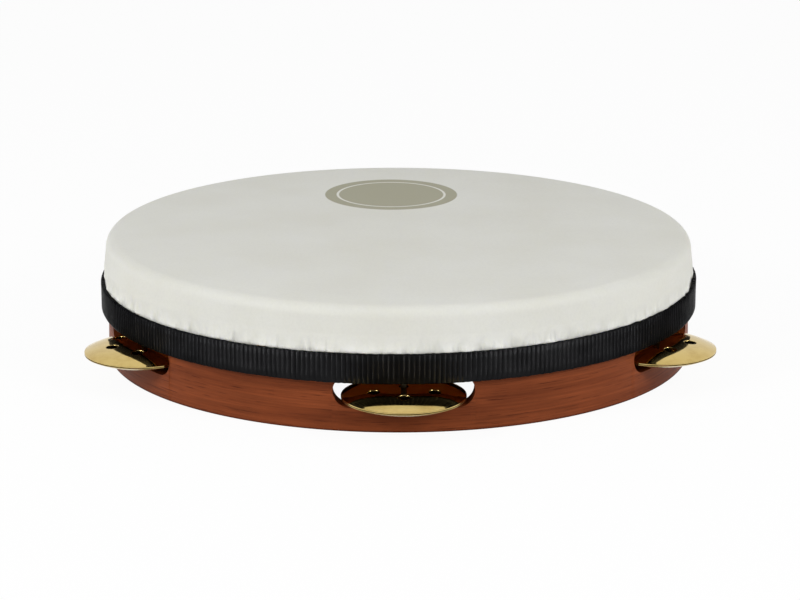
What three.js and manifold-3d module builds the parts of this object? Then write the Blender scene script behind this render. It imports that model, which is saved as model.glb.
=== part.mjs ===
// A ten inch pandeiro: a slotted wood ring under a glued skin, with five loose jingle sets
// on nails and a plain stretch at the back for the hand. Millimetres, +Z up, origin under
// the middle of the drum and its jingles.

import * as THREE from 'three';
import { mergeVertices } from 'three/addons/utils/BufferGeometryUtils.js';
import Module from 'manifold-3d';

const wasm = await Module();
wasm.setup();

// Clearances
const seatGap = 0.3;          // between pieces that are glued or driven together
const jingleGap = 0.25;       // between the loose discs of a set, and under the lowest
const cutOverrun = 1;         // how far a cut runs past the wood

// Bent wood shell
const shellRadius = 127;
const shellWall = 8;
const shellHeight = 50.9;
const bearingRound = 3.7;     // round of the top outer edge, where the skin turns down
const bearingFall = 0.5;      // how far the top face falls towards that round
const innerChamfer = 0.5;
const footChamfer = 0.7;
const slotCount = 5;
const slotFloor = 9.8;        // height of the wood under a slot
const slotHeadroom = 5.2;     // free height over a jingle set at rest
const slotEndRoom = 3.25;     // free length at each end of a slot, past the jingles

// Jingles: two vented cups, mouth to mouth, with a flat damper disc loose inside them
const jingleDiameter = 50;
const jingleLip = 1.2;        // flat rim outside the dome
const jingleRise = 3.4;
const jingleSheet = 0.35;
const jingleBore = 4;
const ventDiameter = 5;
const ventCircle = 28;
const ventCount = 6;
const damperInset = 3.2;      // how far the damper's edge stays inside the cups'
const damperSheet = 0.3;

// Nails that carry the jingles
const nailInset = 4.8;        // from the outside of the wood to the nail's middle
const nailDiameter = 2.4;
const nailHeadDiameter = 4.4;
const nailHeadHeight = 0.8;
const nailSink = 0.5;         // how deep the head sits in the bottom edge
const nailBite = 10;          // how far the shank goes into the wood over the slot
const nailPoint = 2.5;

// Skin, and the webbing glued round its edge
const skinSheet = 0.7;
const skinTuck = 1.4;         // how far the skin's edge stops above the webbing's
const webbingWidth = 12.4;
const webbingSheet = 1.5;
const webbingOverSlot = 2.4;  // how far the webbing hangs over the slots
const lapLength = 18;
const lapRamp = 10;

// Angles and steps
const slotTurn = (61.5 * Math.PI) / 180;
const lapAngle = Math.PI / 3;
const ringSteps = 72;
const jingleSteps = 30;
const ventSteps = 8;
const nailSteps = 8;
const slotEndSteps = 6;
const roundSteps = 3;
const domeShares = [0.4, 0.7, 1];

// Places worked out from the sizes above
const shellBore = shellRadius - shellWall;
const nailCircle = shellRadius - nailInset;
const jingleRadius = jingleDiameter / 2;
const damperRadius = jingleRadius - damperInset;
const cupHeight = jingleRise + jingleSheet;
const lowerCupTop = slotFloor + jingleGap + cupHeight;
const damperBase = lowerCupTop - domeRise(damperRadius) + jingleGap;
const upperCupBase = lowerCupTop + jingleGap;
const slotTop = upperCupBase + cupHeight + slotHeadroom;
const slotHeight = slotTop - slotFloor;
const slotLength = jingleDiameter + 2 * slotEndRoom;
const webbingBase = slotTop - webbingOverSlot;
const skinBase = webbingBase + skinTuck;
const webbingBore = shellRadius + seatGap + skinSheet + seatGap;
const nailTip = slotTop + nailBite;
const webbingReach = webbingBore + webbingSheet;
const ringCentre = (nailCircle + jingleRadius - webbingReach) / 2;

// Materials
const reddishWood = () =>
  new THREE.MeshStandardMaterial({ color: 0x74402c, roughness: 0.45, metalness: 0 });
const paleSkin = () =>
  new THREE.MeshStandardMaterial({ color: 0xdcdbd2, roughness: 0.6, metalness: 0 });
const blackWebbing = () =>
  new THREE.MeshStandardMaterial({ color: 0x161616, roughness: 0.9, metalness: 0 });
const yellowBrass = () =>
  new THREE.MeshStandardMaterial({ color: 0xc9ab60, roughness: 0.25, metalness: 1 });
const nailSteel = () =>
  new THREE.MeshStandardMaterial({ color: 0x9a9a98, roughness: 0.4, metalness: 1 });

// A closed geometry as a solid, and back again
function toSolid(geometry) {
  const bare = geometry.clone();
  bare.deleteAttribute('normal');
  bare.deleteAttribute('uv');
  const merged = mergeVertices(bare);
  const index = merged.index.array;
  const kept = [];
  for (let i = 0; i < index.length; i += 3) {
    const [a, b, c] = [index[i], index[i + 1], index[i + 2]];
    if (a !== b && b !== c && c !== a) kept.push(a, b, c);
  }
  const mesh = new wasm.Mesh({
    numProp: 3,
    vertProperties: new Float32Array(merged.attributes.position.array),
    triVerts: new Uint32Array(kept),
  });
  return new wasm.Manifold(mesh);
}

function toGeometry(solid) {
  const mesh = solid.getMesh();
  const geometry = new THREE.BufferGeometry();
  geometry.setAttribute('position', new THREE.BufferAttribute(mesh.vertProperties, 3));
  geometry.setIndex(new THREE.BufferAttribute(mesh.triVerts, 1));
  geometry.computeVertexNormals();
  return geometry;
}

// A profile of [radius, height] points turned round +Z, up its outside and down its inside
function revolve(profile, steps) {
  const points = profile.map(([radius, height]) => new THREE.Vector2(radius, height));
  return new THREE.LatheGeometry(points, steps).rotateX(Math.PI / 2);
}

function closed(profile) {
  return [...profile, profile[0]];
}

// Points of a quarter round that leaves the side wall at side and turns in by the radius
function quarterRound(side, top, radius) {
  const points = [];
  for (let i = 0; i <= roundSteps; i += 1) {
    const angle = (Math.PI / 2) * (i / roundSteps);
    points.push([side - radius + radius * Math.cos(angle), top - radius + radius * Math.sin(angle)]);
  }
  return points;
}

function shellProfile() {
  return closed([
    [shellBore + footChamfer, 0],
    [shellRadius - footChamfer, 0],
    [shellRadius, footChamfer],
    ...quarterRound(shellRadius, shellHeight - bearingFall, bearingRound),
    [shellBore + innerChamfer, shellHeight],
    [shellBore, shellHeight - innerChamfer],
    [shellBore, footChamfer],
  ]);
}

// One round-ended slot, cut radially at the -Y side
function slotCutter() {
  const endRadius = slotHeight / 2;
  const endCentre = slotLength / 2 - endRadius;
  const outline = new THREE.Shape();
  outline.absarc(endCentre, 0, endRadius, -Math.PI / 2, Math.PI / 2);
  outline.absarc(-endCentre, 0, endRadius, Math.PI / 2, (3 * Math.PI) / 2);
  const depth = shellWall + 2 * cutOverrun + slotReachLoss();
  const cutter = new THREE.ExtrudeGeometry(outline, {
    depth,
    bevelEnabled: false,
    curveSegments: slotEndSteps,
  });
  cutter.rotateX(Math.PI / 2);
  cutter.translate(0, -(shellRadius + cutOverrun) + depth, slotFloor + endRadius);
  return cutter;
}

// How much nearer the centre the ring's bore comes at a slot's end than at its middle
function slotReachLoss() {
  return shellBore - Math.sqrt(shellBore ** 2 - (slotLength / 2) ** 2);
}

// The nail's hole from below, with a counterbore for its head
function nailHole() {
  const shank = nailDiameter / 2 + seatGap;
  const head = nailHeadDiameter / 2 + seatGap;
  const counterbore = nailSink + nailHeadHeight + seatGap;
  const hole = revolve(
    [
      [0, -cutOverrun],
      [head, -cutOverrun],
      [head, counterbore],
      [shank, counterbore],
      [shank, nailTip + seatGap],
      [0, nailTip + seatGap],
    ],
    nailSteps,
  );
  return hole.translate(0, -nailCircle, 0);
}

function shellGeometry() {
  let ring = toSolid(revolve(shellProfile(), ringSteps));
  for (let slot = 0; slot < slotCount; slot += 1) {
    ring = ring.subtract(toSolid(slotCutter().rotateZ(setTurn(slot))));
    ring = ring.subtract(toSolid(nailHole().rotateZ(setTurn(slot))));
  }
  return toGeometry(ring);
}

// The skin's inside or outside face, from its edge up to the middle, at a distance off the wood
function skinFace(offset) {
  return [
    [shellRadius + offset, skinBase],
    ...quarterRound(shellRadius + offset, shellHeight - bearingFall + offset, bearingRound + offset),
    [shellBore, shellHeight + offset],
    [0, shellHeight + offset],
  ];
}

function skinGeometry() {
  const outside = skinFace(seatGap + skinSheet);
  const inside = skinFace(seatGap).reverse();
  return toGeometry(toSolid(revolve(closed([...outside, ...inside]), ringSteps)));
}

// The webbing's outside radius at an angle: one more layer over the lap, with a ramp up to it
function webbingOutside(angle) {
  const past = (angle - lapAngle) * webbingReach;
  if (past < 0 || past > lapLength + lapRamp) return webbingReach;
  return webbingReach + webbingSheet * Math.min(1, past / lapRamp);
}

// The webbing in plan, on the same steps as the skin that it lies on
function webbingGeometry() {
  const step = (2 * Math.PI) / ringSteps;
  const lapEnd = lapAngle + (lapLength + lapRamp) / webbingReach;
  const outer = [];
  const inner = [];
  const put = (list, radius, angle) =>
    list.push(new THREE.Vector2(radius * Math.cos(angle), radius * Math.sin(angle)));
  for (let i = 0; i < ringSteps; i += 1) {
    const angle = i * step;
    put(inner, webbingBore, angle);
    put(outer, webbingOutside(angle), angle);
    if (angle <= lapEnd && lapEnd < angle + step) {
      put(outer, webbingReach + webbingSheet, lapEnd);
      put(outer, webbingReach, lapEnd);
    }
  }
  const plan = new THREE.Shape(outer);
  plan.holes.push(new THREE.Path(inner));
  const strip = new THREE.ExtrudeGeometry(plan, { depth: webbingWidth, bevelEnabled: false });
  return toGeometry(toSolid(strip.translate(0, 0, webbingBase)));
}

// Height of a cup's face over its rim: a dome that steepens towards the lip
function domeRise(radius) {
  return jingleRise * (1 - (radius / (jingleRadius - jingleLip)) ** 3);
}

function domePoints(base) {
  const bore = jingleBore / 2;
  const radii = [bore, ...domeShares.map((share) => share * (jingleRadius - jingleLip))];
  return [...radii.map((radius) => [radius, base + domeRise(radius)]), [jingleRadius, base]];
}

// A cup with its rim down, standing on height zero
function cupGeometry() {
  const outside = domePoints(jingleSheet).reverse();
  const inside = domePoints(0);
  let cup = toSolid(revolve(closed([...outside, ...inside]), jingleSteps));
  for (let vent = 0; vent < ventCount; vent += 1) {
    const drill = new THREE.CylinderGeometry(
      ventDiameter / 2,
      ventDiameter / 2,
      cupHeight + 2 * cutOverrun,
      ventSteps,
    );
    drill.rotateX(Math.PI / 2);
    drill.translate(0, -ventCircle / 2, cupHeight / 2);
    drill.rotateZ((2 * Math.PI * vent) / ventCount);
    cup = cup.subtract(toSolid(drill));
  }
  return toGeometry(cup);
}

function damperGeometry() {
  const bore = jingleBore / 2;
  const rim = damperRadius;
  const profile = [
    [bore, 0],
    [rim, 0],
    [rim, damperSheet],
    [bore, damperSheet],
  ];
  return toGeometry(toSolid(revolve(closed(profile), jingleSteps)));
}

function nailGeometry() {
  const shank = nailDiameter / 2;
  const head = nailHeadDiameter / 2;
  const neck = nailSink + nailHeadHeight;
  const profile = [
    [0, nailSink],
    [head, nailSink],
    [head, neck],
    [shank, neck],
    [shank, nailTip - nailPoint],
    [0, nailTip],
  ];
  return toGeometry(toSolid(revolve(profile, nailSteps)));
}

function named(name, geometry, material) {
  const mesh = new THREE.Mesh(geometry, material);
  mesh.name = name;
  return mesh;
}

// The middle slot faces -Y, and the others stand evenly on both sides of it
function setTurn(slot) {
  return (slot - (slotCount - 1) / 2) * slotTurn;
}

// One jingle set at the -Y side: nail, lower cup, damper disc and upper cup
function jingleSet(number, shapes) {
  const set = new THREE.Group();
  const nail = named(`jingle_nail_${number}`, shapes.nail, nailSteel());
  const lower = named(`lower_jingle_${number}`, shapes.cup, yellowBrass());
  const damper = named(`damper_disc_${number}`, shapes.damper, yellowBrass());
  const upper = named(`upper_jingle_${number}`, shapes.cup, yellowBrass());
  nail.position.set(0, -nailCircle, 0);
  lower.position.set(0, -nailCircle, lowerCupTop);
  lower.rotation.x = Math.PI;
  damper.position.set(0, -nailCircle, damperBase);
  upper.position.set(0, -nailCircle, upperCupBase);
  set.add(nail, lower, damper, upper);
  return set;
}

const pandeiro = new THREE.Group();
pandeiro.add(named('wood_shell', shellGeometry(), reddishWood()));
pandeiro.add(named('skin_head', skinGeometry(), paleSkin()));
pandeiro.add(named('webbing_band', webbingGeometry(), blackWebbing()));

const shapes = { nail: nailGeometry(), cup: cupGeometry(), damper: damperGeometry() };
for (let slot = 0; slot < slotCount; slot += 1) {
  const set = jingleSet(slot + 1, shapes);
  set.rotation.z = setTurn(slot);
  pandeiro.add(set);
}
pandeiro.children.forEach((child) => child.position.setY(child.position.y + ringCentre));

export default pandeiro;
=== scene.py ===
import math
import random

import bpy
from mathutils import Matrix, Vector, noise


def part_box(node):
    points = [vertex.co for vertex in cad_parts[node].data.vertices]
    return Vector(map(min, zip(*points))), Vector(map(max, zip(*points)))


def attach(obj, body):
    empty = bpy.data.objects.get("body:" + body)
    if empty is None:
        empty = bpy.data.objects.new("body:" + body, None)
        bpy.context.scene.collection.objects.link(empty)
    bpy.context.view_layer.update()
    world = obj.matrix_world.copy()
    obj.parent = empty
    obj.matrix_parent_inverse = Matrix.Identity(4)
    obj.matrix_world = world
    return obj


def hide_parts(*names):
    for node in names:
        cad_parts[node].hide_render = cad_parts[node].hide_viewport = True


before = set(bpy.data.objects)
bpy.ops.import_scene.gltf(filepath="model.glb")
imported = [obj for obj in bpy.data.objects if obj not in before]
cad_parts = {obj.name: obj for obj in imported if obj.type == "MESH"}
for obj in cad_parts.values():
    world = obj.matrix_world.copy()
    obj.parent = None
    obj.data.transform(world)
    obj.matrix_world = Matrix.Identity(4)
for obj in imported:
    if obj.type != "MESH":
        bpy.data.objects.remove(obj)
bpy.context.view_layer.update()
print("frame loaded")

mm = 0.001


# Places read from the frame: the ring's own centre lies behind the frame's origin

def nodeMiddle(node):
    low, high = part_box(node)
    return (Vector(low) + Vector(high)) / 2


setCount = 5
frontSet = 3
ringCentre = nodeMiddle("skin_head").y
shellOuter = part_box("wood_shell")[1][0]
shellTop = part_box("wood_shell")[1][2]
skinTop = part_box("skin_head")[1][2]
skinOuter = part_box("skin_head")[1][0]
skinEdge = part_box("skin_head")[0][2]
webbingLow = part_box("webbing_band")[0][2]
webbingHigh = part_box("webbing_band")[1][2]
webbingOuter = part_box("webbing_band")[1][0]


def setPlace(number):
    # the angle of a jingle set about the ring, and how far out its nail stands
    middle = nodeMiddle(f"jingle_nail_{number}")
    ahead = middle.y - ringCentre
    return math.atan2(ahead, middle.x), math.hypot(ahead, middle.x)


def setTurn(number):
    # the same angle, counted from the front
    turn = setPlace(number)[0] + math.pi / 2
    return (turn + math.pi) % (2 * math.pi) - math.pi


nailCircle = setPlace(frontSet)[1]


# Small helpers for working as by hand

def clearSelection():
    if bpy.context.mode != "OBJECT":
        bpy.ops.object.mode_set(mode="OBJECT")
    bpy.ops.object.select_all(action="DESELECT")


def pick(piece):
    clearSelection()
    piece.select_set(True)
    bpy.context.view_layer.objects.active = piece


def editAll(piece, mode="VERT"):
    pick(piece)
    bpy.ops.object.mode_set(mode="EDIT")
    bpy.ops.mesh.select_mode(type=mode)
    bpy.ops.mesh.select_all(action="SELECT")


def editFaces(piece, wanted):
    # enters edit mode with only the faces selected whose centre and normal pass the test
    editAll(piece, "FACE")
    bpy.ops.mesh.select_all(action="DESELECT")
    bpy.ops.object.mode_set(mode="OBJECT")
    for face in piece.data.polygons:
        face.select = wanted(face.center, face.normal)
    bpy.ops.object.mode_set(mode="EDIT")


def editEdges(piece, wanted):
    editAll(piece, "EDGE")
    bpy.ops.mesh.select_all(action="DESELECT")
    bpy.ops.object.mode_set(mode="OBJECT")
    points = piece.data.vertices
    for edge in piece.data.edges:
        edge.select = wanted(points[edge.vertices[0]].co, points[edge.vertices[1]].co)
    bpy.ops.object.mode_set(mode="EDIT")


def settle(piece):
    # merges doubles, turns the faces outwards and leaves edit mode
    editAll(piece)
    bpy.ops.mesh.remove_doubles(threshold=0.002 * mm)
    bpy.ops.mesh.normals_make_consistent(inside=False)
    bpy.ops.object.mode_set(mode="OBJECT")


def applyModifier(piece, kind, **settings):
    pick(piece)
    modifier = piece.modifiers.new(kind.lower(), kind)
    for name, value in settings.items():
        setattr(modifier, name, value)
    bpy.ops.object.modifier_apply(modifier=modifier.name)


def cutWith(piece, cutter):
    applyModifier(piece, "BOOLEAN", operation="DIFFERENCE", solver="EXACT", object=cutter)
    bpy.data.objects.remove(cutter, do_unlink=True)


def smooth(piece, degrees):
    pick(piece)
    bpy.ops.object.shade_smooth_by_angle(angle=math.radians(degrees))


def pullRings(name, profile, steps, capStart=False):
    # one ring of edges is pulled through a profile of (radius, height), as on a lathe
    clearSelection()
    radius, height = profile[0]
    bpy.ops.mesh.primitive_circle_add(vertices=steps, radius=radius, location=(0, 0, height),
                                      fill_type="NGON" if capStart else "NOTHING")
    piece = bpy.context.active_object
    piece.name = name
    bpy.ops.object.transform_apply(location=True, rotation=True, scale=True)
    editAll(piece, "EDGE")
    for nextRadius, nextHeight in profile[1:]:
        rise = {"value": (0, 0, nextHeight - height)}
        bpy.ops.mesh.extrude_edges_move(TRANSFORM_OT_translate=rise)
        if nextRadius == 0:
            bpy.ops.mesh.merge(type="CENTER")
        else:
            scale = nextRadius / radius
            bpy.ops.transform.resize(value=(scale, scale, 1), center_override=(0, 0, 0))
        radius, height = nextRadius, nextHeight
    settle(piece)
    return piece


def copyOf(piece, name):
    pick(piece)
    bpy.ops.object.duplicate(linked=False)
    twin = bpy.context.active_object
    twin.name = name
    return twin


def place(piece, spot, turn=0.0, flipped=False):
    # puts a piece that was made at the origin in its place, and bakes that into its mesh
    pick(piece)
    piece.location = spot
    piece.rotation_euler = (math.pi if flipped else 0, 0, turn)
    bpy.ops.object.transform_apply(location=True, rotation=True, scale=True)


def seatOnRing(piece):
    # what was made about the ring's axis moves to where the ring stands
    place(piece, (0, ringCentre, 0))


def ease(share):
    share = min(1, max(0, share))
    return share * share * (3 - 2 * share)


def finishPiece(piece, body, nodes, material):
    piece.data.materials.clear()
    piece.data.materials.append(material)
    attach(piece, body)
    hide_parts(*nodes)


# Camera at the photograph's angle

camera = {
    "lens": 122.06,
    "distance": 1192.4 * mm,
    "elevation": 15.436,
    "turn": 1.0,
    "aim": (0.64 * mm, ringCentre, 19.45 * mm),
}


def makeCamera():
    data = bpy.data.cameras.new("camera")
    data.lens = camera["lens"]
    data.sensor_width = 36
    data.clip_start = 0.05
    eye = bpy.data.objects.new("camera", data)
    bpy.context.collection.objects.link(eye)
    elevation, turn = math.radians(camera["elevation"]), math.radians(camera["turn"])
    back = Vector((-math.sin(turn) * math.cos(elevation),
                   -math.cos(turn) * math.cos(elevation),
                   math.sin(elevation)))
    eye.location = Vector(camera["aim"]) + back * camera["distance"]
    eye.rotation_euler = (-back).to_track_quat("-Z", "Y").to_euler()
    bpy.context.scene.camera = eye


makeCamera()


# Materials

def newMaterial(name):
    material = bpy.data.materials.new(name)
    material.use_nodes = True
    tree = material.node_tree
    shader = tree.nodes["Principled BSDF"]
    return material, tree, shader


def addNode(tree, kind, links=None, **settings):
    # links are sources by socket, and settings are the node's own properties
    node = tree.nodes.new(kind)
    for name, value in settings.items():
        setattr(node, name, value)
    for socket, source in (links or {}).items():
        tree.links.new(source, node.inputs[socket])
    return node


def feed(tree, socket, value):
    # a number or a tuple is set on the socket, and another node's output is linked to it
    if isinstance(value, (int, float, tuple)):
        socket.default_value = value
    else:
        tree.links.new(value, socket)


def mathOf(tree, operation, *values):
    node = addNode(tree, "ShaderNodeMath", operation=operation)
    for socket, value in zip(node.inputs, values):
        feed(tree, socket, value)
    return node.outputs[0]


def vectorOf(tree, operation, *values):
    node = addNode(tree, "ShaderNodeVectorMath", operation=operation)
    for socket, value in zip(node.inputs, values):
        feed(tree, socket, value)
    single = operation in ("LENGTH", "DISTANCE", "DOT_PRODUCT")
    return node.outputs["Value" if single else "Vector"]


def fade(tree, source, start, stop, low, high):
    node = addNode(tree, "ShaderNodeMapRange", {"Value": source},
                   interpolation_type="SMOOTHSTEP")
    node.inputs["From Min"].default_value = start
    node.inputs["From Max"].default_value = stop
    node.inputs["To Min"].default_value = low
    node.inputs["To Max"].default_value = high
    return node.outputs["Result"]


def objectSpot(tree):
    return addNode(tree, "ShaderNodeTexCoord").outputs["Object"]


def heightOf(tree, vector):
    return addNode(tree, "ShaderNodeSeparateXYZ", {0: vector}).outputs["Z"]


def ramp(tree, source, stops):
    node = addNode(tree, "ShaderNodeValToRGB", {"Fac": source})
    marks = node.color_ramp.elements
    while len(marks) < len(stops):
        marks.new(0.5)
    for mark, (position, colour) in zip(marks, stops):
        mark.position = position
        mark.color = (*colour, 1)
    return node.outputs["Color"]


def grey(value):
    return (value, value, value)


def scaled(tree, source, scale, offset=(0, 0, 0)):
    node = addNode(tree, "ShaderNodeMapping", {"Vector": source})
    node.inputs["Scale"].default_value = scale
    node.inputs["Location"].default_value = offset
    return node.outputs["Vector"]


def noiseOf(tree, vector, scale, detail, roughness):
    node = addNode(tree, "ShaderNodeTexNoise", {"Vector": vector})
    node.inputs["Scale"].default_value = scale
    node.inputs["Detail"].default_value = detail
    node.inputs["Roughness"].default_value = roughness
    return node.outputs["Fac"]


def bumpOf(tree, heights, strength, distance, under=None):
    node = addNode(tree, "ShaderNodeBump", {"Height": heights})
    node.inputs["Strength"].default_value = strength
    node.inputs["Distance"].default_value = distance
    if under is not None:
        tree.links.new(under, node.inputs["Normal"])
    return node.outputs["Normal"]


def mixOf(tree, factor, first, second, blend="MIX"):
    node = addNode(tree, "ShaderNodeMix", data_type="RGBA", blend_type=blend)
    feed(tree, node.inputs[0], factor)
    for socket, value in ((node.inputs[6], first), (node.inputs[7], second)):
        feed(tree, socket, (*value, 1) if isinstance(value, tuple) else value)
    return node.outputs[2]


wood = {
    "light": (0.245, 0.06, 0.0195),
    "middle": (0.204, 0.048, 0.015),
    "dark": (0.143, 0.0315, 0.01),
    "pore": (0.06, 0.012, 0.004),
    "roughness": 0.42,
    "roughSpread": 0.08,
    "gloss": 0.07,
    # way round, depth and height scales, then detail and roughness of the noise
    "band": (1.1, 90, 170, 5, 0.6),
    "cloud": (3, 20, 45),
    "pores": (10, 1500, 2600, 2),
    "fibres": (3.5, 1800, 1500, 3, 0.6),
    "poreDepth": 0.05 * mm,
    "fibreDepth": 0.04 * mm,
    # painted contact shadow along the wood's lower edge: where it starts, how high it reaches and
    # how dark it gets
    "footShadeStart": 0.25 * mm,
    "footShadeTop": 0.9 * mm,
    "footShadeShare": 0.75,
}


def ringVector(tree, around, depth):
    # a seamless place on the ring: the way round it, and the depth into its wall
    spot = scaled(tree, objectSpot(tree), (1, 1, 0), (0, -ringCentre, 0))
    way = scaled(tree, vectorOf(tree, "NORMALIZE", spot), (around, around, 1))
    deep = mathOf(tree, "MULTIPLY", vectorOf(tree, "LENGTH", spot), depth)
    lift = addNode(tree, "ShaderNodeCombineXYZ", {2: deep}).outputs[0]
    return vectorOf(tree, "ADD", way, lift)


def grain(tree, around, depth, height, detail=3, roughness=0.55):
    # noise that runs along the bent strip, with its own scale in each direction
    level = mathOf(tree, "MULTIPLY", heightOf(tree, objectSpot(tree)), height)
    node = addNode(tree, "ShaderNodeTexNoise", noise_dimensions="4D")
    tree.links.new(ringVector(tree, around, depth), node.inputs["Vector"])
    tree.links.new(level, node.inputs["W"])
    node.inputs["Scale"].default_value = 1
    node.inputs["Detail"].default_value = detail
    node.inputs["Roughness"].default_value = roughness
    return node.outputs["Fac"]


def stainedWood():
    material, tree, shader = newMaterial("stainedWood")
    band = grain(tree, *wood["band"])
    cloud = grain(tree, *wood["cloud"])
    pores = grain(tree, *wood["pores"])
    fibres = grain(tree, *wood["fibres"])
    body = ramp(tree, band, [
        (0.32, wood["dark"]), (0.47, wood["middle"]), (0.68, wood["light"]),
    ])
    shade = ramp(tree, cloud, [(0.3, grey(0.86)), (0.7, grey(1.1))])
    body = mixOf(tree, 1.0, body, shade, "MULTIPLY")
    thread = ramp(tree, fibres, [(0.35, grey(0.8)), (0.65, grey(1.1))])
    body = mixOf(tree, 1.0, body, thread, "MULTIPLY")
    poreMask = ramp(tree, pores, [(0.6, grey(0)), (0.68, grey(0.85))])
    body = mixOf(tree, poreMask, body, wood["pore"])
    # the wood is darker along its lower edge: painted shade, standing for the contact shadow
    # where it meets the floor
    low = fade(tree, heightOf(tree, objectSpot(tree)), wood["footShadeStart"], wood["footShadeTop"],
               wood["footShadeShare"], 0)
    body = mixOf(tree, low, body, wood["pore"])
    tree.links.new(body, shader.inputs["Base Color"])
    rough = ramp(tree, band, [
        (0.3, grey(wood["roughness"] + wood["roughSpread"])), (0.7, grey(wood["roughness"])),
    ])
    tree.links.new(rough, shader.inputs["Roughness"])
    relief = bumpOf(tree, pores, 0.25, -wood["poreDepth"])
    relief = bumpOf(tree, fibres, 0.2, wood["fibreDepth"], relief)
    tree.links.new(relief, shader.inputs["Normal"])
    shader.inputs["Specular IOR Level"].default_value = wood["gloss"]
    return material


skin = {
    "colour": (0.735, 0.735, 0.67),
    "warm": (0.7, 0.695, 0.62),
    # painted shade on the skin's underside, seen in the cups' reflections
    "back": (0.55, 0.27, 0.1),
    "print": (0.345, 0.332, 0.237),
    "printCentre": (-2.3 * mm, 65 * mm + ringCentre, 0),
    "printRadius": 30.3 * mm,
    "ringRadius": 24.5 * mm,
    "ringWidth": 1.1 * mm,
    "inkEdge": 0.25 * mm,
    "inkDepth": 0.8 * mm,
    "gathers": (25, 10, 60, 1.5),  # scales and detail, as for the wood
    "pebbleScale": 1300,
    "pebbleDepth": 0.05 * mm,
    "cloudDepth": 0.4 * mm,
    "creaseFade": 7.5 * mm,
    "creaseDepth": 5 * mm,
    "roughness": 0.56,
    "gloss": 0.35,
    "letsThrough": 0.5,
    "lightReach": 2 * mm,
}


def discMask(tree, distance, radius):
    # 1 inside the radius, fading to 0 over the ink's soft edge
    return fade(tree, distance, radius - skin["inkEdge"], radius + skin["inkEdge"], 1, 0)


def paleSkin():
    material, tree, shader = newMaterial("paleSkin")
    spot = objectSpot(tree)
    cloud = noiseOf(tree, spot, 22, 3, 0.5)
    fleck = noiseOf(tree, spot, 900, 3, 0.6)
    tone = ramp(tree, cloud, [(0.3, skin["warm"]), (0.65, skin["colour"])])
    speck = ramp(tree, fleck, [(0.25, grey(0.965)), (0.6, grey(1.0))])
    tone = mixOf(tree, 1.0, tone, speck, "MULTIPLY")
    flat = vectorOf(tree, "MULTIPLY", spot, (1, 1, 0))
    away = vectorOf(tree, "DISTANCE", flat, skin["printCentre"])
    disc = discMask(tree, away, skin["printRadius"])
    outer = discMask(tree, away, skin["ringRadius"] + skin["ringWidth"] / 2)
    inner = discMask(tree, away, skin["ringRadius"] - skin["ringWidth"] / 2)
    ring = mathOf(tree, "SUBTRACT", outer, inner)
    height = heightOf(tree, spot)
    onTop = mathOf(tree, "GREATER_THAN", height, skinTop - skin["inkDepth"])
    ink = mathOf(tree, "MULTIPLY", mathOf(tree, "SUBTRACT", disc, ring), onTop)
    tone = mixOf(tree, ink, tone, skin["print"])
    # creases run up from the webbing's edge, where the skin was drawn in, and fade out; their
    # colour carries painted shade in the creases and painted light on the ridges, lighter on the
    # whole just above the webbing
    drawn = fade(tree, height, webbingHigh, webbingHigh + skin["creaseFade"], 1, 0)
    gathers = grain(tree, *skin["gathers"])
    shade = ramp(tree, gathers, [(0.3, grey(0.89)), (0.44, grey(1.05)), (0.68, grey(1.2))])
    shade = mixOf(tree, drawn, grey(1.0), shade)
    tone = mixOf(tree, 1.0, tone, shade, "MULTIPLY")
    # the skin's underside is painted brown: painted shade, for the dark inside of the drum that
    # the cups reflect
    facing = addNode(tree, "ShaderNodeNewGeometry").outputs["Normal"]
    under = mathOf(tree, "LESS_THAN", heightOf(tree, facing), -0.5)
    tone = mixOf(tree, under, tone, skin["back"])
    tree.links.new(tone, shader.inputs["Base Color"])
    gathers = mathOf(tree, "MULTIPLY", gathers, drawn)
    cells = addNode(tree, "ShaderNodeTexVoronoi", {"Vector": spot}, feature="DISTANCE_TO_EDGE")
    cells.inputs["Scale"].default_value = skin["pebbleScale"]
    creases = ramp(tree, cells.outputs["Distance"], [(0.0, grey(0)), (0.25, grey(1))])
    relief = bumpOf(tree, creases, 0.12, skin["pebbleDepth"])
    relief = bumpOf(tree, cloud, 0.15, skin["cloudDepth"], relief)
    relief = bumpOf(tree, gathers, 1.0, skin["creaseDepth"], relief)
    tree.links.new(relief, shader.inputs["Normal"])
    shader.inputs["Roughness"].default_value = skin["roughness"]
    shader.inputs["Specular IOR Level"].default_value = skin["gloss"]
    shader.inputs["Subsurface Weight"].default_value = skin["letsThrough"]
    shader.inputs["Subsurface Radius"].default_value = (1, 1, 0.8)
    shader.inputs["Subsurface Scale"].default_value = skin["lightReach"]
    return material


webbing = {
    "colour": (0.0145, 0.0145, 0.0153),
    "worn": (0.021, 0.021, 0.022),
    "edgeSheen": 0.4,
    "roughness": 0.28,
    "rowScale": 2600,
    "rowDepth": 0.054 * mm,
    "fuzzDepth": 0.05 * mm,
    "ribCount": 392,
    "ribSamples": 12,
    "ribDepth": 0.24 * mm,
    "ribSharpness": 0.5,
    "waviness": 0.16 * mm,
    "raggedness": 0.16 * mm,
    "ribRaggedness": 0.1 * mm,
    "selvedge": 0.7 * mm,
    "roundOff": 0.75 * mm,
    "softOff": 0.25 * mm,
    "tuck": 0.1 * mm,
    "thickness": 1.5 * mm,
    "lowTilt": 0.33 * mm,
    "highTilt": 0.62 * mm,
    "lapAngle": math.radians(60),
    "lapLength": 18 * mm,
    "lapRamp": 10 * mm,
}


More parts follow.
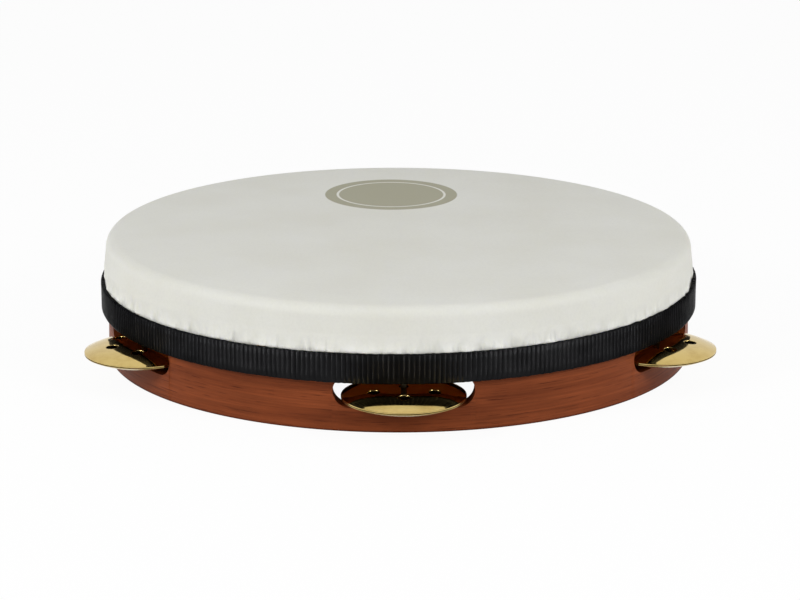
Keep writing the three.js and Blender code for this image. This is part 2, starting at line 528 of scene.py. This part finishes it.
def blackWebbing():
    material, tree, shader = newMaterial("blackWebbing")
    spot = objectSpot(tree)
    cloud = grain(tree, 20, 40, 160)
    tone = ramp(tree, cloud, [(0.35, webbing["colour"]), (0.75, webbing["worn"])])
    tree.links.new(tone, shader.inputs["Base Color"])
    rows = addNode(tree, "ShaderNodeTexWave", {
        "Vector": scaled(tree, spot, (0, 0, webbing["rowScale"])),
    }, wave_type="BANDS", bands_direction="Z")
    rows.inputs["Scale"].default_value = 0.32
    rows.inputs["Distortion"].default_value = 1.5
    fuzz = noiseOf(tree, spot, 2500, 2, 0.6)
    weave = bumpOf(tree, rows.outputs["Fac"], 1.0, webbing["rowDepth"])
    weave = bumpOf(tree, fuzz, 0.3, webbing["fuzzDepth"], weave)
    tree.links.new(weave, shader.inputs["Normal"])
    shader.inputs["Roughness"].default_value = webbing["roughness"]
    # set as a very dark metal, which keeps the sheen low at flat angles
    shader.inputs["Metallic"].default_value = 1
    shader.inputs["Specular Tint"].default_value = (*grey(webbing["edgeSheen"]), 1)
    return material


brass = {
    "colour": (0.78, 0.585, 0.22),
    "tarnish": (0.66, 0.47, 0.16),
    "roughness": 0.05,
    "roughSpread": 0.06,
    # the lower cups' and dampers' colour share, dimmed as painted shade, and their rougher finish
    "paintedShadeShare": 0.6,
    "dullRoughness": 0.22,
    "waveDepth": 0.12 * mm,
}


def brassOf(name, share, roughness):
    # share dims the colour as painted shade, for the lower cups and the dampers that sit in the
    # upper cups' shadow
    material, tree, shader = newMaterial(name)
    spot = objectSpot(tree)
    cloud = noiseOf(tree, spot, 110, 4, 0.6)
    low, high = ([part * share for part in brass[word]] for word in ("tarnish", "colour"))
    tone = ramp(tree, cloud, [(0.3, low), (0.55, high)])
    tree.links.new(tone, shader.inputs["Base Color"])
    scratch = noiseOf(tree, spot, 1600, 3, 0.6)
    rough = ramp(tree, scratch, [
        (0.3, grey(roughness)), (0.75, grey(roughness + brass["roughSpread"])),
    ])
    tree.links.new(rough, shader.inputs["Roughness"])
    wavy = bumpOf(tree, cloud, 0.25, brass["waveDepth"])
    tree.links.new(wavy, shader.inputs["Normal"])
    shader.inputs["Metallic"].default_value = 1
    return material


steel = {
    "stain": (0.12, 0.09, 0.055),
    "colour": (0.2, 0.16, 0.1),
    "pitDepth": 0.05 * mm,
}


def nailSteel():
    material, tree, shader = newMaterial("nailSteel")
    spot = objectSpot(tree)
    spots = noiseOf(tree, spot, 900, 4, 0.6)
    tone = ramp(tree, spots, [(0.3, steel["stain"]), (0.65, steel["colour"])])
    tree.links.new(tone, shader.inputs["Base Color"])
    rough = ramp(tree, spots, [(0.3, grey(0.5)), (0.7, grey(0.3))])
    tree.links.new(rough, shader.inputs["Roughness"])
    pits = bumpOf(tree, spots, 0.2, steel["pitDepth"])
    tree.links.new(pits, shader.inputs["Normal"])
    shader.inputs["Metallic"].default_value = 1
    return material


woodFinish = stainedWood()
skinFinish = paleSkin()
webbingFinish = blackWebbing()
brassFinish = brassOf("polishedBrass", 1, brass["roughness"])
dullPaintedShadeFinish = brassOf("dullBrassPaintedShade", brass["paintedShadeShare"], brass["dullRoughness"])
steelFinish = nailSteel()
print("materials ready")


# Bent wood shell, made as a flat strip and then bent round

shell = {
    "wall": 8 * mm,
    "bearingRound": 3.7 * mm,
    "bearingFall": 0.5 * mm,
    "slotHalfLength": 28.25 * mm,
    "slotFloor": 9.8 * mm,
    "slotTop": 23 * mm,
    "edgeSoftness": 0.45 * mm,
    "columns": 360,
    "nailHole": 1.5 * mm,
    "nailHoleTop": 33.3 * mm,
    "counterbore": 2.5 * mm,
    "counterboreDepth": 1.6 * mm,
    "lean": 0.45 * mm,
    "drawnFrom": 37.5 * mm,
    "drawnIn": 0.9 * mm,
}


def slotCutter(turn):
    # a straight milling cutter's path, square to the ring at the slot's middle
    radius = (shell["slotTop"] - shell["slotFloor"]) / 2
    centre = (shell["slotTop"] + shell["slotFloor"]) / 2
    clearSelection()
    bpy.ops.mesh.primitive_cylinder_add(vertices=64, radius=radius, depth=4 * shell["wall"],
                                        location=(0, -nailCircle, centre),
                                        rotation=(math.pi / 2, 0, 0))
    cutter = bpy.context.active_object
    bpy.ops.object.transform_apply(location=True, rotation=True, scale=True)
    spread = shell["slotHalfLength"] - radius
    for point in cutter.data.vertices:
        if abs(point.co.x) > 0.001 * mm:
            point.co.x += math.copysign(spread, point.co.x)
    place(cutter, (0, 0, 0), turn)
    return cutter


def nailHoleCutter(turn):
    below = -2 * mm
    cutter = pullRings("nailHole", [
        (shell["counterbore"], below),
        (shell["counterbore"], shell["counterboreDepth"]),
        (shell["nailHole"], shell["counterboreDepth"]),
        (shell["nailHole"], shell["nailHoleTop"]),
        (0, shell["nailHoleTop"]),
    ], 32, capStart=True)
    place(cutter, (nailCircle * math.sin(turn), -nailCircle * math.cos(turn), 0))
    return cutter


def joined(pieces):
    clearSelection()
    for piece in pieces:
        piece.select_set(True)
    bpy.context.view_layer.objects.active = pieces[0]
    bpy.ops.object.join()
    return pieces[0]


def bendRound(piece, radius):
    # the strip's length becomes an angle about Z, with length zero at the front
    for point in piece.data.vertices:
        angle = point.co.x / radius - math.pi / 2
        reach = radius - point.co.y
        point.co = (reach * math.cos(angle), reach * math.sin(angle), point.co.z)


def bisectAt(piece, places):
    editAll(piece)
    for along in places:
        bpy.ops.mesh.select_all(action="SELECT")
        bpy.ops.mesh.bisect(plane_co=(along, 0, 0), plane_no=(1, 0, 0), threshold=0.001 * mm)
    bpy.ops.object.mode_set(mode="OBJECT")


def shapeTop(piece):
    # above the webbing the side is drawn in a little, and the whole top rises towards the left
    side = skinTop - shell["bearingRound"]
    for point in piece.data.vertices:
        reach = math.hypot(point.co.x, point.co.y)
        inwards = ease((point.co.z - shell["drawnFrom"]) / (side - shell["drawnFrom"]))
        inwards *= ease((reach - shellOuter + shell["wall"]) / (shell["wall"] / 2))
        scale = 1 - shell["drawnIn"] * inwards / shellOuter
        lift = ease((point.co.z - webbingHigh) / (side - webbingHigh)) * point.co.x / shellOuter
        point.co = (point.co.x * scale, point.co.y * scale, point.co.z - shell["lean"] * lift)


def roundNormals(piece):
    # the ring's two broad faces are shaded exactly round, also beside the slots
    mesh = piece.data
    normals = [Vector(corner.vector) for corner in mesh.corner_normals]
    for face in mesh.polygons:
        for corner in face.loop_indices:
            spot = mesh.vertices[mesh.loops[corner].vertex_index].co
            out = Vector((spot.x, spot.y, 0)).normalized()
            if abs(face.normal.dot(out)) > 0.9995:
                normals[corner] = out if face.normal.dot(out) > 0 else -out
    mesh.normals_split_custom_set(normals)


def makeShell():
    # the strip's ends meet at the back, in the stretch without slots
    wall = shell["wall"]
    bendRadius = shellOuter - wall / 2
    length = 2 * math.pi * bendRadius
    clearSelection()
    bpy.ops.mesh.primitive_cube_add(size=1, location=(0, 0, shellTop / 2),
                                    scale=(length, wall, shellTop))
    piece = bpy.context.active_object
    piece.name = "woodShell"
    bpy.ops.object.transform_apply(location=True, rotation=True, scale=True)

    def outerTop(a, b):
        return min(a.z, b.z) > shellTop - mm and max(a.y, b.y) < 0

    editEdges(piece, outerTop)
    bpy.ops.transform.translate(value=(0, 0, -shell["bearingFall"]))
    bpy.ops.mesh.bevel(offset=shell["bearingRound"], segments=8, affect="EDGES")
    editFaces(piece, lambda centre, normal: abs(normal.x) > 0.999)
    bpy.ops.mesh.delete(type="FACE")
    step = length / shell["columns"]
    bisectAt(piece, [step * i - length / 2 for i in range(1, shell["columns"])])
    bendRound(piece, bendRadius)
    settle(piece)
    turns = [setTurn(number) for number in range(1, setCount + 1)]
    cutWith(piece, joined([slotCutter(turn) for turn in turns]))
    cutWith(piece, joined([nailHoleCutter(turn) for turn in turns]))
    applyModifier(piece, "BEVEL", width=shell["edgeSoftness"], segments=3,
                  limit_method="ANGLE", angle_limit=math.radians(50))
    shapeTop(piece)
    settle(piece)
    smooth(piece, 50)
    applyModifier(piece, "WEIGHTED_NORMAL", mode="FACE_AREA", weight=60, keep_sharp=True)
    roundNormals(piece)
    seatOnRing(piece)
    finishPiece(piece, "drum", ["wood_shell"], woodFinish)


makeShell()
print("wood shell made")


# Skin: flat across the ring, turned down as a collar and puckered over the webbing

collar = {
    "thickness": 0.7 * mm,
    "steps": 720,
    "slopeStart": 112 * mm,
    "slopeShares": (0.12, 0.28, 0.45, 0.65, 0.85, 1.0),
    "roundSteps": 9,
    "sideRows": 26,
    "rowCrowding": 1.35,
    "hiddenRows": (2 * mm, 0.6 * mm),
    "topRadii": (104, 92, 80, 66, 50, 34, 18, 6),
    "puckerSpacing": 6.5 * mm,
    "puckerDepth": 0.95 * mm,
    "puckerWidth": 1.9 * mm,
    "puckerRise": 6.5 * mm,
    "puckerReach": 20 * mm,
    "swell": 0.15 * mm,
    "swellRise": 2.6 * mm,
    "slowWave": 0.12 * mm,
    "slowRise": 14 * mm,
    "seed": 11,
}


def skinProfile():
    bend = shell["bearingRound"] + skinOuter - shellOuter
    shoulder = skinTop - shell["bearingFall"]
    side = shoulder - bend
    points = [(skinOuter, skinEdge)]
    points += [(skinOuter, webbingHigh - below) for below in collar["hiddenRows"]]
    for row in range(collar["sideRows"]):
        share = (row / collar["sideRows"]) ** collar["rowCrowding"]
        points.append((skinOuter, webbingHigh + (side - webbingHigh) * share))
    for i in range(collar["roundSteps"] + 1):
        angle = math.pi / 2 * i / collar["roundSteps"]
        points.append((skinOuter - bend + bend * math.cos(angle), side + bend * math.sin(angle)))
    crown = skinOuter - bend
    for share in collar["slopeShares"]:
        radius = crown + (collar["slopeStart"] - crown) * share
        points.append((radius, shoulder + shell["bearingFall"] * ease(share)))
    points += [(radius * mm, skinTop) for radius in collar["topRadii"]]
    points.append((0, skinTop))
    return points


def puckerList():
    # where the skin was drawn in under the webbing, each pucker with its own size and lean
    chance = random.Random(collar["seed"])
    puckers = []
    along = 0.0
    whole = 2 * math.pi * skinOuter
    while along < whole:
        puckers.append({
            "along": along,
            "depth": collar["puckerDepth"] * chance.uniform(-1, 1),
            "width": collar["puckerWidth"] * chance.uniform(0.6, 1.7),
            "rise": collar["puckerRise"] * chance.uniform(0.4, 1.8),
            "lean": chance.uniform(-0.25, 0.25),
        })
        along += collar["puckerSpacing"] * chance.uniform(0.3, 1.3)
    return puckers


def puckerSkin(piece):
    puckers = puckerList()
    whole = 2 * math.pi * skinOuter
    for point in piece.data.vertices:
        reach = math.hypot(point.co.x, point.co.y)
        above = point.co.z - webbingHigh
        if reach < skinOuter - 0.02 * mm or above > collar["puckerReach"]:
            continue
        angle = math.atan2(point.co.y, point.co.x)
        along = (angle % (2 * math.pi)) * skinOuter
        push = 0.0
        for pucker in puckers:
            off = along - pucker["along"] - pucker["lean"] * max(0, above)
            off = (off + whole / 2) % whole - whole / 2
            if abs(off) > 3 * pucker["width"]:
                continue
            left = 1 - ease(above / pucker["rise"])
            push += pucker["depth"] * math.exp(-(off / pucker["width"]) ** 2) * left
        swell = collar["swell"] * (1 - ease(above / collar["swellRise"]))
        around = Vector((math.cos(angle), math.sin(angle), 0))
        slow = collar["slowWave"] * noise.noise(around * 9)
        push += swell + slow * (1 - ease(above / collar["slowRise"]))
        if above < 0:
            push = min(push, 0) * 0.5
        point.co.x += push * math.cos(angle)
        point.co.y += push * math.sin(angle)


def makeSkin():
    piece = pullRings("skinHead", skinProfile(), collar["steps"])
    puckerSkin(piece)
    shapeTop(piece)
    applyModifier(piece, "SOLIDIFY", thickness=collar["thickness"], offset=-1)
    settle(piece)
    smooth(piece, 50)
    seatOnRing(piece)
    finishPiece(piece, "drum", ["skin_head"], skinFinish)


makeSkin()
print("skin made")


# Ribbed webbing round the skin's edge, lapped at the back

def webbingProfile():
    outer = webbingOuter
    inner = outer - webbing["thickness"] + 0.02 * mm
    low, high, edge, tuck = webbingLow, webbingHigh, webbing["selvedge"], webbing["tuck"]
    return [
        (inner, low + tuck),
        (outer - webbing["roundOff"], low),
        (outer - webbing["softOff"], low + 0.25 * edge),
        (outer, low + edge),
        (outer, low + 0.25 * (high - low)),
        (outer, low + 0.5 * (high - low)),
        (outer, low + 0.75 * (high - low)),
        (outer, high - edge),
        (outer - webbing["softOff"], high - 0.25 * edge),
        (outer - webbing["roundOff"], high),
        (inner, high - tuck),
        (inner, low + tuck),
    ]


def lapLift(angle):
    # the second layer at the back: a ramp, a flat stretch and a cut end
    past = ((angle - webbing["lapAngle"]) % (2 * math.pi)) * webbingOuter
    if past > webbing["lapLength"] + webbing["lapRamp"]:
        return 0.0
    return webbing["thickness"] * ease(past / webbing["lapRamp"])


def ribWebbing(piece):
    inner = webbingOuter - webbing["thickness"]
    middle = (webbingLow + webbingHigh) / 2
    half = (webbingHigh - webbingLow) / 2
    for point in piece.data.vertices:
        angle = math.atan2(point.co.y, point.co.x)
        reach = math.hypot(point.co.x, point.co.y)
        around = Vector((math.cos(angle), math.sin(angle), 0))
        depth = (reach - inner) / webbing["thickness"]
        phase = angle / (2 * math.pi) * webbing["ribCount"]
        number = math.floor(phase)
        crest = abs(math.sin(math.pi * (phase - number))) ** webbing["ribSharpness"]
        uneven = noise.noise(Vector((number * 0.37, point.co.z * 120, 3)))
        push = webbing["ribDepth"] * (crest - 1) * (0.85 + 0.5 * uneven)
        wave = noise.noise(around * 7 + Vector((0, 0, point.co.z * 60)))
        push += webbing["waviness"] * wave
        push += lapLift(angle)
        if depth < 0.3:
            push = 0.0
        share = (point.co.z - middle) / half
        ragged = webbing["raggedness"] * noise.noise(around * 60 + Vector((0, 0, share)))
        ragged += webbing["ribRaggedness"] * noise.noise(Vector((number * 0.9, share, 7)))
        tilt = webbing["lowTilt"] + (webbing["highTilt"] - webbing["lowTilt"]) * (1 + share) / 2
        lift = share * ragged + tilt * math.cos(angle)
        reach += push
        point.co = (reach * math.cos(angle), reach * math.sin(angle), point.co.z + lift)


def makeWebbing():
    steps = webbing["ribCount"] * webbing["ribSamples"]
    piece = pullRings("webbingBand", webbingProfile(), steps)
    ribWebbing(piece)
    smooth(piece, 60)
    seatOnRing(piece)
    finishPiece(piece, "drum", ["webbing_band"], webbingFinish)


makeWebbing()
print("webbing made")


# Jingles: vented cups, flat dampers and the nails that carry them

jingle = {
    "radius": 25 * mm,
    "lip": 0.15 * mm,
    "rise": 3.4 * mm,
    "fullness": 4,
    "damperInset": 3.2 * mm,
    "sheet": 0.35 * mm,
    "bore": 2 * mm,
    "ventRadius": 2.5 * mm,
    "ventCircle": 14 * mm,
    "ventCount": 6,
    "ventSlack": 0.03 * mm,
    "drillDepth": 20 * mm,
    "domeRings": 26,
    "steps": 168,
    "edgeSoftness": 0.06 * mm,
    "ventSoftness": 0.22 * mm,
    "waviness": 0.05 * mm,
    "waveScale": 95,
    "upperTurns": (35, -5.5, 0, 16, 18),
    "lowerTurns": (22, -8, 30, 5, -25),
}

damperDisc = {
    "sheet": 0.3 * mm,
    "softness": 0.08 * mm,
    "midRadius": 12 * mm,
}

nailShape = {
    "head": 2.2 * mm,
    "headHeight": 0.8 * mm,
    "headSoftness": 0.2 * mm,
    "bottomInset": 0.25 * mm,
    "shank": 1.2 * mm,
    "fillet": 0.3 * mm,
    "tip": 2.5 * mm,
}

domeRadius = jingle["radius"] - jingle["lip"]


def domeHeight(radius):
    return jingle["rise"] * (1 - min(1, radius / domeRadius) ** jingle["fullness"])


def makeCup():
    # rim down, standing on height zero; the outer face is pulled in to the bore, then back
    rings = jingle["domeRings"]
    radii = [jingle["radius"]] + [
        jingle["bore"] + (domeRadius - jingle["bore"]) * (1 - i / rings) for i in range(rings + 1)
    ]
    top = [(radius, jingle["sheet"] + domeHeight(radius)) for radius in radii]
    under = [(radius, domeHeight(radius)) for radius in reversed(radii)]
    cup = pullRings("cup", top + under + top[:1], jingle["steps"])
    drills = []
    for i in range(jingle["ventCount"]):
        turn = i * 2 * math.pi / jingle["ventCount"] - math.pi / 2
        spot = (jingle["ventCircle"] * math.cos(turn), jingle["ventCircle"] * math.sin(turn), 0)
        clearSelection()
        bpy.ops.mesh.primitive_cylinder_add(vertices=40, radius=jingle["ventRadius"],
                                            depth=jingle["drillDepth"], location=spot)
        bpy.ops.object.transform_apply(location=True, rotation=True, scale=True)
        drills.append(bpy.context.active_object)
    cutWith(cup, joined(drills))
    settle(cup)

    def outerVentEdge(a, b):
        # both ends lie on a vent's circle and on the cup's outer face
        rims = []
        for point in (a, b):
            radius = math.hypot(point.x, point.y)
            part = 2 * math.pi / jingle["ventCount"]
            turn = (math.atan2(point.y, point.x) + math.pi / 2 + part / 2) % part - part / 2
            away = math.hypot(radius * math.cos(turn) - jingle["ventCircle"],
                              radius * math.sin(turn))
            outer = point.z > domeHeight(radius) + jingle["sheet"] / 2
            rims.append(outer and abs(away - jingle["ventRadius"]) < jingle["ventSlack"])
        return all(rims)

    editEdges(cup, outerVentEdge)
    bpy.ops.mesh.bevel(offset=jingle["ventSoftness"], segments=3, affect="EDGES")
    settle(cup)
    applyModifier(cup, "BEVEL", width=jingle["edgeSoftness"], segments=2,
                  limit_method="ANGLE", angle_limit=math.radians(50), use_clamp_overlap=False)
    smooth(cup, 40)
    applyModifier(cup, "WEIGHTED_NORMAL", mode="FACE_AREA", weight=60, keep_sharp=True)
    return cup


def makeDamper():
    radius, bore = jingle["radius"] - jingle["damperInset"], jingle["bore"]
    soft, sheet, mid = damperDisc["softness"], damperDisc["sheet"], damperDisc["midRadius"]
    disc = pullRings("damper", [
        (bore, soft), (bore + soft, 0), (mid, 0), (radius - soft, 0), (radius, soft),
        (radius, sheet - soft), (radius - soft, sheet), (mid, sheet), (bore + soft, sheet),
        (bore, sheet - soft), (bore, soft),
    ], 120)
    smooth(disc, 40)
    return disc


def makeNail():
    head, soft = nailShape["head"], nailShape["headSoftness"]
    shank, fillet = nailShape["shank"], nailShape["fillet"]
    low, high = (corner[2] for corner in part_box("jingle_nail_1"))
    neck = low + nailShape["headHeight"]
    nail = pullRings("nail", [
        (head - nailShape["bottomInset"], low), (head, low + soft), (head, neck - soft),
        (head - soft, neck), (shank + fillet, neck), (shank, neck + fillet),
        (shank, high - nailShape["tip"]), (0, high),
    ], 32, capStart=True)
    smooth(nail, 40)
    return nail


def dent(piece, seed):
    # pressed sheet is never quite even, so its reflections wander a little
    shift = Vector((seed * 3.1, seed * 1.7, seed * 0.9))
    for point in piece.data.vertices:
        flat = Vector((point.co.x, point.co.y, 0))
        point.co.z += jingle["waviness"] * noise.noise(flat * jingle["waveScale"] + shift)


def makeJingles():
    cup, damper, nail = makeCup(), makeDamper(), makeNail()
    for number in range(1, setCount + 1):
        station = setTurn(number)
        middle = nodeMiddle(f"upper_jingle_{number}")
        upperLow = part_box(f"upper_jingle_{number}")[0][2]
        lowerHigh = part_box(f"lower_jingle_{number}")[1][2]
        for word, height, turns, flipped in (
            ("upper", upperLow, jingle["upperTurns"], False),
            ("lower", lowerHigh, jingle["lowerTurns"], True),
        ):
            piece = copyOf(cup, f"{word}Jingle{number}")
            dent(piece, number + (7 if flipped else 0))
            turn = station + math.radians(turns[number - 1])
            place(piece, (middle.x, middle.y, height), turn, flipped)
            node = f"{word}_jingle_{number}"
            finishPiece(piece, node, [node], dullPaintedShadeFinish if flipped else brassFinish)
        disc = copyOf(damper, f"damperDisc{number}")
        node = f"damper_disc_{number}"
        place(disc, (middle.x, middle.y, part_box(node)[0][2]))
        finishPiece(disc, node, [node], dullPaintedShadeFinish)
        pin = copyOf(nail, f"jingleNail{number}")
        place(pin, (middle.x, middle.y, 0))
        finishPiece(pin, "drum", [f"jingle_nail_{number}"], steelFinish)
    for source in (cup, damper, nail):
        bpy.data.objects.remove(source, do_unlink=True)


makeJingles()
print("jingles made")


# Floor, world and lights

studio = {
    "world": 0.49,
    "floorSize": 8,
    "floorDrop": 0.05 * mm,
    "floorColour": 0.92,
    "floorWhite": 0.94,
    "keyPower": 5.6,
    "keyAngle": -56,
    "fillPower": 5.25,
    "fillAngle": 52,
    "lampSize": 0.3,
    "lampReach": 1.2,
    "lampHeight": 31,
}

# what only gloss sees of the floor and the room, picked for the reflections it gives
glossView = {
    "roomGrey": 0.8,
    "roomDim": 0.05,
    "roomWay": (0, 0.85, 0.55),
    "roomFade": (-0.35, 0.28),
    "brightNear": (238 * mm, 252 * mm),
    "brightFar": (255 * mm, 310 * mm),
    # painted shade: the brown glow that gloss sees on the floor inside the drum
    "inside": (0.03, 0.012, 0.004),
    "frontFade": (-60 * mm, 0),
    "darkAhead": (0.12, 0.4),
    "patchFrom": (0.3, 0.5),
    "patchTo": (0.75, 0.9),
}


def rayKinds(tree):
    # rays that see the white background, and rays from gloss
    path = addNode(tree, "ShaderNodeLightPath").outputs
    seen = mathOf(tree, "MAXIMUM", path["Is Camera Ray"], path["Is Transmission Ray"])
    return seen, path["Is Glossy Ray"]


def glowOf(tree, colour, strength):
    node = addNode(tree, "ShaderNodeEmission")
    node.inputs["Color"].default_value = (*colour, 1)
    feed(tree, node.inputs["Strength"], strength)
    return node.outputs[0]


def roomOf(tree, level, strength):
    node = addNode(tree, "ShaderNodeBackground")
    node.inputs["Color"].default_value = (*grey(level), 1)
    feed(tree, node.inputs["Strength"], strength)
    return node.outputs[0]


def shaderMix(tree, factor, first, second):
    return addNode(tree, "ShaderNodeMixShader", {0: factor, 1: first, 2: second}).outputs[0]


def paintedReflectionFloor(tree):
    # painted reflections, which gloss alone sees: white round the drum and far off, and a dark
    # ring between; straight ahead it stays dark further out, with a white patch on each side, and
    # inside the drum a fixed brown glow stands in for its shade
    flat = vectorOf(tree, "SUBTRACT", objectSpot(tree), (0, ringCentre, 0))
    reach = vectorOf(tree, "LENGTH", flat)
    axes = addNode(tree, "ShaderNodeSeparateXYZ", {0: flat}).outputs
    aside = mathOf(tree, "DIVIDE", mathOf(tree, "ABSOLUTE", axes["X"]), reach)
    nearBy = fade(tree, reach, *glossView["brightNear"], 1, 0)
    farOff = fade(tree, reach, *glossView["brightFar"], 0, 1)
    front = fade(tree, axes["Y"], *glossView["frontFade"], 1, 0)
    patch = mathOf(tree, "MULTIPLY", fade(tree, aside, *glossView["patchFrom"], 0, 1),
                   fade(tree, aside, *glossView["patchTo"], 1, 0))
    patch = mathOf(tree, "MULTIPLY", patch, front)
    ahead = mathOf(tree, "MULTIPLY", fade(tree, aside, *glossView["darkAhead"], 1, 0), front)
    farOff = mathOf(tree, "MULTIPLY", farOff, mathOf(tree, "SUBTRACT", 1, ahead))
    level = mathOf(tree, "MAXIMUM", mathOf(tree, "MAXIMUM", nearBy, farOff), patch)
    outside = mathOf(tree, "GREATER_THAN", reach, shellOuter)
    return shaderMix(tree, outside, glowOf(tree, glossView["inside"], 1),
                     glowOf(tree, grey(1), level))


def makeFloor():
    clearSelection()
    bpy.ops.mesh.primitive_plane_add(size=studio["floorSize"],
                                     location=(0, 0, -studio["floorDrop"]))
    floor = bpy.context.active_object
    floor.name = "floor"
    bpy.ops.object.transform_apply(location=True, rotation=True, scale=True)
    material, tree, shader = newMaterial("floorPaper")
    shader.inputs["Base Color"].default_value = (*grey(studio["floorColour"]), 1)
    shader.inputs["Roughness"].default_value = 0.9
    shader.inputs["Specular IOR Level"].default_value = 0
    seen, gloss = rayKinds(tree)
    share = mathOf(tree, "MULTIPLY", seen, studio["floorWhite"])
    paper = shaderMix(tree, share, shader.outputs[0], glowOf(tree, grey(1), 1))
    paper = shaderMix(tree, gloss, paper, paintedReflectionFloor(tree))
    tree.links.new(paper, tree.nodes["Material Output"].inputs["Surface"])
    floor.data.materials.append(material)


def makeWorld():
    # a white room, which gloss alone sees dimmed behind the camera
    world = bpy.data.worlds.new("studio")
    bpy.context.scene.world = world
    world.use_nodes = True
    tree = world.node_tree
    soft = tree.nodes["Background"]
    soft.inputs["Color"].default_value = (1, 1, 1, 1)
    soft.inputs["Strength"].default_value = studio["world"]
    way = addNode(tree, "ShaderNodeTexCoord").outputs["Generated"]
    lean = vectorOf(tree, "DOT_PRODUCT", way, glossView["roomWay"])
    level = fade(tree, lean, *glossView["roomFade"], glossView["roomDim"], 1)
    seen, gloss = rayKinds(tree)
    room = shaderMix(tree, seen, soft.outputs[0], roomOf(tree, 1, 1))
    room = shaderMix(tree, gloss, room, roomOf(tree, glossView["roomGrey"], level))
    tree.links.new(room, tree.nodes["World Output"].inputs["Surface"])


def addSoftbox(name, azimuth, power):
    data = bpy.data.lights.new(name, "AREA")
    data.shape = "SQUARE"
    data.size = studio["lampSize"]
    data.energy = power
    lamp = bpy.data.objects.new(name, data)
    bpy.context.collection.objects.link(lamp)
    azimuth, elevation = math.radians(azimuth), math.radians(studio["lampHeight"])
    way = Vector((math.sin(azimuth) * math.cos(elevation),
                  -math.cos(azimuth) * math.cos(elevation),
                  math.sin(elevation)))
    lamp.location = way * studio["lampReach"]
    lamp.rotation_euler = way.to_track_quat("Z", "Y").to_euler()


makeFloor()
makeWorld()
addSoftbox("keyLight", studio["keyAngle"], studio["keyPower"])
addSoftbox("fillLight", studio["fillAngle"], studio["fillPower"])

bpy.context.scene.view_settings.view_transform = "Standard"
print("scene ready")
